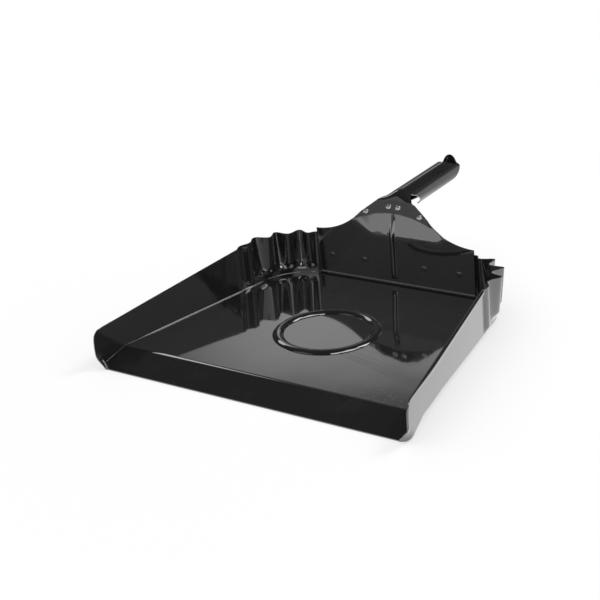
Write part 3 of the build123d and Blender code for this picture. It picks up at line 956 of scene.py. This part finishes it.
def tube_rows(angles, seam):
    """Rows along the tube before the notch, and rows behind it to the middle of the closed end."""
    front = []
    for share in np.linspace(0.0, 1.0, TUBE_ROWS):
        row = []
        for angle in angles:
            begin = tube_front(angle)
            y = begin + share * (notch_front(angle) - begin)
            row.append(tube_point(towards_seam(angle, y), y))
        front.append(row)
    rear = []
    round_start = tube_end - TUBE_END_RADIUS
    for y in np.linspace(notch_end, round_start, TUBE_BAND_ROWS):
        rear.append([end_point(angle, y) for angle in angles])
    for turn in np.linspace(0.0, math.pi / 2, TUBE_END_ROWS)[1:]:
        closing = 1 + (math.pi / seam - 1) * min(1.0, turn)
        y = round_start + TUBE_END_RADIUS * math.sin(turn)
        radius = TUBE_RADIUS - TUBE_END_RADIUS * (1 - math.cos(turn))
        rear.append([end_point(angle * closing, y, radius) for angle in angles])
    for share in TUBE_END_SHARES:
        radius = share * (TUBE_RADIUS - TUBE_END_RADIUS)
        rear.append([end_point(angle * math.pi / seam, tube_end, radius) for angle in angles])
    return front, rear


def build_handle(material):
    """Saddle, neck and tube as one sheet, thickened inwards."""
    half = list(np.linspace(0.0, 1.0, HALF_COLUMNS))
    shares = [-share for share in half[:0:-1]] + half
    seam = seam_angle(tube_end)
    crown = [share * NECK_END_SPREAD for share in half]
    beside = list(np.linspace(NECK_END_SPREAD, notch_angle, TUBE_NOTCH_COLUMNS)[1:])
    lower = list(np.linspace(notch_angle, seam, TUBE_SIDE_COLUMNS)[1:])
    round_half = crown + beside + lower
    angles = [-angle for angle in round_half[:0:-1]] + round_half
    front, rear = tube_rows(angles, seam)
    bm = bmesh.new()
    add_grid(bm, saddle_rows(shares) + neck_rows(shares))
    add_grid(bm, front)
    add_grid(bm, rear)
    weld(bm)
    face_towards(bm, (0, tube_start + TUBE_FRONT_SLANT, tube_top), (0, 0, 1))
    handle = make_piece(bm, "handle_sheet", material, "handle")
    thicken(handle)


# Rivets

def rivet_profile(grip, head_height):
    """Half outline of a rivet: dished tail, shank, then the flange and dome of the head."""
    tail = -grip - RIVET_TAIL_HEIGHT
    bed_radius, bed_depth = RIVET_DISH_BED
    bevel_in, bevel_up = RIVET_TAIL_BEVEL
    round_in, round_down = RIVET_TAIL_ROUNDING
    flange = RIVET_FLANGE_SHARE * head_height
    soft = flange / 2
    outline = [
        (0.0, tail + RIVET_DISH_DEPTH),
        (bed_radius, tail + bed_depth),
        (RIVET_DISH_RADIUS, tail),
        (RIVET_TAIL_RADIUS - bevel_in, tail),
        (RIVET_TAIL_RADIUS, tail + bevel_up),
        (RIVET_TAIL_RADIUS, -grip - round_down),
        (RIVET_TAIL_RADIUS - round_in, -grip),
        (RIVET_HEAD_RADIUS - soft, 0.0),
        (RIVET_HEAD_RADIUS, soft),
    ]
    for angle in np.linspace(0.0, math.pi / 2, RIVET_DOME_ROWS):
        radius = RIVET_HEAD_RADIUS * math.cos(angle)
        outline.append((radius, flange + (head_height - flange) * math.sin(angle)))
    return outline


def build_rivet(node, place, lean, head_height, material):
    """A turned rivet with its head to the front, square to the sheet that it holds."""
    bm = bmesh.new()
    outward = Vector((0, -math.cos(lean), math.sin(lean)))
    across = Vector((1, 0, 0))
    up = outward.cross(across)
    rows = []
    for radius, height in rivet_profile(2 * SHEET, head_height):
        row = []
        for step in range(RIVET_STEPS):
            angle = 2 * math.pi * step / RIVET_STEPS
            offset = across * (radius * math.cos(angle)) + up * (radius * math.sin(angle))
            row.append(Vector(place) + outward * height + offset)
        rows.append(row)
    add_grid(bm, rows, closed=True)
    weld(bm)
    bmesh.ops.recalc_face_normals(bm, faces=bm.faces)
    piece = make_piece(bm, node + "_turned", material, node)
    soften(piece, RIVET_SOFTENING)


def build_rivets(plated, enamel):
    """Painted rivets through the panel, and plated ones through the saddle."""
    outer = panel_half_width - PANEL_RIVET_FROM_END
    for side, word in ((1, "right"), (-1, "left")):
        for x, place in ((outer, "outer"), (PANEL_RIVET_INNER_X, "inner")):
            node = f"panel_rivet_{place}_{word}"
            point = (side * x, panel_front, PANEL_RIVET_HEIGHT)
            build_rivet(node, point, 0.0, PANEL_RIVET_HEAD_HEIGHT, enamel)
        wing = (SADDLE_RIVET_WING_X, SADDLE_RIVET_WING_DROP, "wing")
        neck = (SADDLE_RIVET_NECK_X, SADDLE_RIVET_NECK_DROP, "neck")
        for x, drop, place in (wing, neck):
            node = f"saddle_rivet_{place}_{word}"
            z = hump_height - drop
            above = hump_front(side * x, z + SHEET / 2)
            below = hump_front(side * x, z - SHEET / 2)
            lean = math.atan((above - below) / SHEET)
            point = (side * x, hump_front(side * x, z) - SHEET / math.cos(lean), z)
            build_rivet(node, point, lean, SADDLE_RIVET_HEAD_HEIGHT, plated)


# Materials

class Nodes:
    """Short calls for adding and joining the nodes of a material or world."""

    def __init__(self, tree):
        self.tree = tree
        tree.nodes.clear()

    def add(self, kind, **values):
        """A new node with some of its settings."""
        node = self.tree.nodes.new(kind)
        for name, value in values.items():
            setattr(node, name, value)
        return node

    def join(self, output, socket):
        """Lead an output to a socket."""
        self.tree.links.new(output, socket)

    def noise(self, vector, scale, detail, rough):
        """Noise at a place, about one half."""
        node = self.add("ShaderNodeTexNoise")
        node.inputs["Scale"].default_value = scale
        node.inputs["Detail"].default_value = detail
        node.inputs["Roughness"].default_value = rough
        self.join(vector, node.inputs["Vector"])
        return node.outputs["Fac"]

    def spread(self, value, low, high, to_low=0.0, to_high=1.0):
        """A smooth step of a value from one range to another."""
        node = self.add("ShaderNodeMapRange", interpolation_type="SMOOTHSTEP")
        for socket, number in zip(node.inputs[1:5], (low, high, to_low, to_high)):
            socket.default_value = number
        self.join(value, node.inputs[0])
        return node.outputs[0]

    def math(self, kind, a, b):
        """Two values reckoned together, each a number or an output."""
        node = self.add("ShaderNodeMath", operation=kind)
        for socket, value in zip(node.inputs, (a, b)):
            if isinstance(value, (int, float)):
                socket.default_value = value
            else:
                self.join(value, socket)
        return node.outputs[0]

    def colour(self, factor, low, high):
        """Blend by a factor between two colours, each fixed or from another node.

        Of the mix node's sockets, inputs 6 and 7 and output 2 are the ones for colours.
        """
        node = self.add("ShaderNodeMix", data_type="RGBA")
        self.join(factor, node.inputs[0])
        for socket, colour in zip(node.inputs[6:8], (low, high)):
            if isinstance(colour, tuple):
                socket.default_value = (*colour, 1)
            else:
                self.join(colour, socket)
        return node.outputs[2]

    def shader(self, factor, low, high):
        """Blend by a factor between two shaders."""
        node = self.add("ShaderNodeMixShader")
        for socket, output in zip(node.inputs, (factor, low, high)):
            self.join(output, socket)
        return node.outputs[0]

    def ramp(self, value, levels):
        """Grey levels at values between 0 and 1."""
        node = self.add("ShaderNodeValToRGB")
        stops = node.color_ramp.elements
        peak = max(level for _, level in levels)
        first, *between, last = [(position, level / peak) for position, level in levels]
        for stop, (position, level) in zip(stops, (first, last)):
            stop.position = position
            stop.color = (level, level, level, 1)
        for position, level in between:
            stops.new(position).color = (level, level, level, 1)
        self.join(value, node.inputs[0])
        return self.math("MULTIPLY", node.outputs[0], peak)

    def bump(self, height, distance, under=None):
        """The normal of a relief whose height is in millimetres, laid on another if there is one."""
        node = self.add("ShaderNodeBump")
        node.inputs["Distance"].default_value = distance * MM
        self.join(height, node.inputs["Height"])
        if under is not None:
            self.join(under, node.inputs["Normal"])
        return node.outputs["Normal"]


def new_material(name):
    """A material with a shader, its node helper and the place on the piece."""
    material = bpy.data.materials.new(name)
    material.use_nodes = True
    nodes = Nodes(material.node_tree)
    shader = nodes.add("ShaderNodeBsdfPrincipled")
    output = nodes.add("ShaderNodeOutputMaterial")
    nodes.join(shader.outputs[0], output.inputs[0])
    place = nodes.add("ShaderNodeTexCoord").outputs["Object"]
    return material, nodes, shader, place


def black_enamel():
    """Dipped gloss enamel on pressed sheet: slight waves, orange peel, dust and worn edges."""
    material, nodes, shader, place = new_material("black_enamel")
    dust = nodes.spread(nodes.noise(place, *DUST_NOISE), *DUST_RANGE)
    points = nodes.add("ShaderNodeNewGeometry").outputs["Pointiness"]
    edge = nodes.spread(points, *EDGE_RANGE)
    chips = nodes.spread(nodes.noise(place, *CHIP_NOISE), *CHIP_RANGE)
    wear = nodes.math("MULTIPLY", edge, chips)
    tint = nodes.colour(dust, ENAMEL, ENAMEL_DUSTY)
    worn = nodes.colour(nodes.math("MULTIPLY", wear, WEAR_TINT), tint, ENAMEL_WORN)
    nodes.join(worn, shader.inputs["Base Color"])
    cloud = nodes.spread(nodes.noise(place, *CLOUD_NOISE), *CLOUD_RANGE, *ENAMEL_ROUGHNESS)
    gloss = nodes.math("ADD", cloud, nodes.math("MULTIPLY", wear, WEAR_ROUGHNESS))
    nodes.join(gloss, shader.inputs["Roughness"])
    waves = nodes.bump(nodes.noise(place, *WAVE_NOISE), WAVE_HEIGHT)
    peel = nodes.bump(nodes.noise(place, *PEEL_NOISE), PEEL_HEIGHT, under=waves)
    nodes.join(peel, shader.inputs["Normal"])
    shader.inputs["IOR"].default_value = ENAMEL_IOR
    shader.inputs["Coat Weight"].default_value = 1.0
    shader.inputs["Coat Roughness"].default_value = COAT_ROUGHNESS
    shader.inputs["Coat IOR"].default_value = ENAMEL_IOR
    nodes.join(waves, shader.inputs["Coat Normal"])
    return material


def plated_steel():
    """Zinc-plated rivet steel with a fine grain and dulled patches."""
    material, nodes, shader, place = new_material("rivet_steel")
    patches = nodes.noise(place, *PATCH_NOISE)
    nodes.join(nodes.colour(patches, PLATING_DULL, PLATING_BRIGHT), shader.inputs["Base Color"])
    nodes.join(nodes.spread(patches, *PATCH_RANGE, *PLATING_ROUGHNESS), shader.inputs["Roughness"])
    grain = nodes.bump(nodes.noise(place, *GRAIN_NOISE), GRAIN_HEIGHT)
    nodes.join(grain, shader.inputs["Normal"])
    shader.inputs["Metallic"].default_value = 1.0
    return material


# Stage

def build_floor():
    """A pale floor that keeps the shadow, and is white away from the part and in reflections."""
    mesh = bpy.data.meshes.new("floor")
    half = FLOOR_HALF
    corners = [(-half, -half, 0), (half, -half, 0), (half, half, 0), (-half, half, 0)]
    mesh.from_pydata(corners, [], [(0, 1, 2, 3)])
    floor = bpy.data.objects.new("floor", mesh)
    show(floor)
    material = bpy.data.materials.new("floor")
    material.use_nodes = True
    nodes = Nodes(material.node_tree)
    place = nodes.add("ShaderNodeTexCoord").outputs["Object"]
    distance = nodes.add("ShaderNodeVectorMath", operation="LENGTH")
    nodes.join(place, distance.inputs[0])
    far = nodes.spread(distance.outputs["Value"], *FLOOR_WHITENING)
    path = nodes.add("ShaderNodeLightPath")
    seen = nodes.math("MULTIPLY", far, path.outputs["Is Camera Ray"])
    white = nodes.math("MAXIMUM", seen, path.outputs["Is Glossy Ray"])
    pale = nodes.add("ShaderNodeBsdfDiffuse")
    pale.inputs["Color"].default_value = (FLOOR_GREY, FLOOR_GREY, FLOOR_GREY, 1)
    split = nodes.add("ShaderNodeSeparateXYZ")
    nodes.join(place, split.inputs[0])
    near, behind, dimmed = FLOOR_BEHIND
    falling = nodes.spread(split.outputs["Y"], near, behind, 1.0, dimmed)
    glow = nodes.add("ShaderNodeEmission")
    nodes.join(nodes.math("MAXIMUM", falling, path.outputs["Is Camera Ray"]), glow.inputs["Strength"])
    output = nodes.add("ShaderNodeOutputMaterial")
    nodes.join(nodes.shader(white, pale.outputs[0], glow.outputs[0]), output.inputs[0])
    mesh.materials.append(material)


def card_share(nodes, heading, angle, half, fade):
    """How much of a card shows at a heading: all within its half width, none past its fade."""
    facing = nodes.add("ShaderNodeVectorMath", operation="DOT_PRODUCT")
    facing.inputs[1].default_value = (math.sin(math.radians(angle)), math.cos(math.radians(angle)), 0)
    nodes.join(heading, facing.inputs[0])
    wide = math.cos(math.radians(half + fade))
    full = math.cos(math.radians(half))
    return nodes.spread(facing.outputs["Value"], wide, full)


def build_world():
    """White to the camera; to gloss, a pale horizon under a dark ceiling, with cards round the part."""
    world = bpy.data.worlds.new("studio")
    bpy.context.scene.world = world
    world.use_nodes = True
    nodes = Nodes(world.node_tree)
    direction = nodes.add("ShaderNodeTexCoord").outputs["Generated"]
    split = nodes.add("ShaderNodeSeparateXYZ")
    nodes.join(direction, split.inputs[0])
    level = nodes.add("ShaderNodeCombineXYZ")
    nodes.join(split.outputs["X"], level.inputs["X"])
    nodes.join(split.outputs["Y"], level.inputs["Y"])
    heading = nodes.add("ShaderNodeVectorMath", operation="NORMALIZE")
    nodes.join(level.outputs[0], heading.inputs[0])
    surrounding = nodes.ramp(split.outputs["Z"], HORIZON_LEVELS)
    for angle, half, fade, levels in (BACK_CARD, RIGHT_CARD, FRONT_CARD, CAMERA_CARD, KEY_CARD):
        share = card_share(nodes, heading.outputs[0], angle, half, fade)
        surrounding = nodes.colour(share, surrounding, nodes.ramp(split.outputs["Z"], levels))
    for angle, half, fade, levels in (CREST_CARD, TOP_CARD):
        share = card_share(nodes, heading.outputs[0], angle, half, fade)
        above = nodes.math("MULTIPLY", share, nodes.ramp(split.outputs["Z"], levels))
        surrounding = nodes.math("MAXIMUM", surrounding, above)
    surround = nodes.add("ShaderNodeBackground")
    nodes.join(surrounding, surround.inputs["Color"])
    even = nodes.add("ShaderNodeBackground")
    even.inputs["Color"].default_value = (1, 1, 1, 1)
    even.inputs["Strength"].default_value = EVEN_LIGHT
    white = nodes.add("ShaderNodeBackground")
    white.inputs["Color"].default_value = (1, 1, 1, 1)
    path = nodes.add("ShaderNodeLightPath")
    unseen = nodes.shader(path.outputs["Is Glossy Ray"], even.outputs[0], surround.outputs[0])
    output = nodes.add("ShaderNodeOutputWorld")
    nodes.join(nodes.shader(path.outputs["Is Camera Ray"], unseen, white.outputs[0]), output.inputs[0])


def add_lamp(name, place, size, watts):
    """A square soft lamp that faces the frame's origin."""
    light = bpy.data.lights.new(name, "AREA")
    light.size = size
    light.energy = watts
    lamp = bpy.data.objects.new(name, light)
    lamp.location = place
    lamp.visible_glossy = False
    lamp.rotation_euler = (-Vector(place)).to_track_quat("-Z", "Y").to_euler()
    show(lamp)


def build_camera():
    """The photograph's viewpoint."""
    place = metres(CAMERA_PLACE)
    right = Vector(CAMERA_RIGHT).normalized()
    up = Vector(CAMERA_UP).normalized()
    back = right.cross(up).normalized()
    up = back.cross(right)
    data = bpy.data.cameras.new("camera")
    data.sensor_fit = "HORIZONTAL"
    data.sensor_width = CAMERA_SENSOR
    data.lens = CAMERA_LENS
    camera = bpy.data.objects.new("camera", data)
    turn = Matrix((right, up, back)).transposed().to_4x4()
    camera.matrix_world = Matrix.Translation(place) @ turn
    show(camera)
    bpy.context.scene.camera = camera


enamel = black_enamel()
plated = plated_steel()
build_tray(enamel)
build_rim_hem("pan_tray_rim_hem_right", 1, enamel)
build_rim_hem("pan_tray_rim_hem_left", -1, enamel)
build_lip_hem(enamel)
build_panel(enamel)
build_handle(enamel)
build_rivets(plated, enamel)
build_floor()
build_world()
add_lamp("key", *KEY_LAMP)
add_lamp("fill", *FILL_LAMP)
build_camera()
bpy.context.scene.view_settings.view_transform = "Standard"
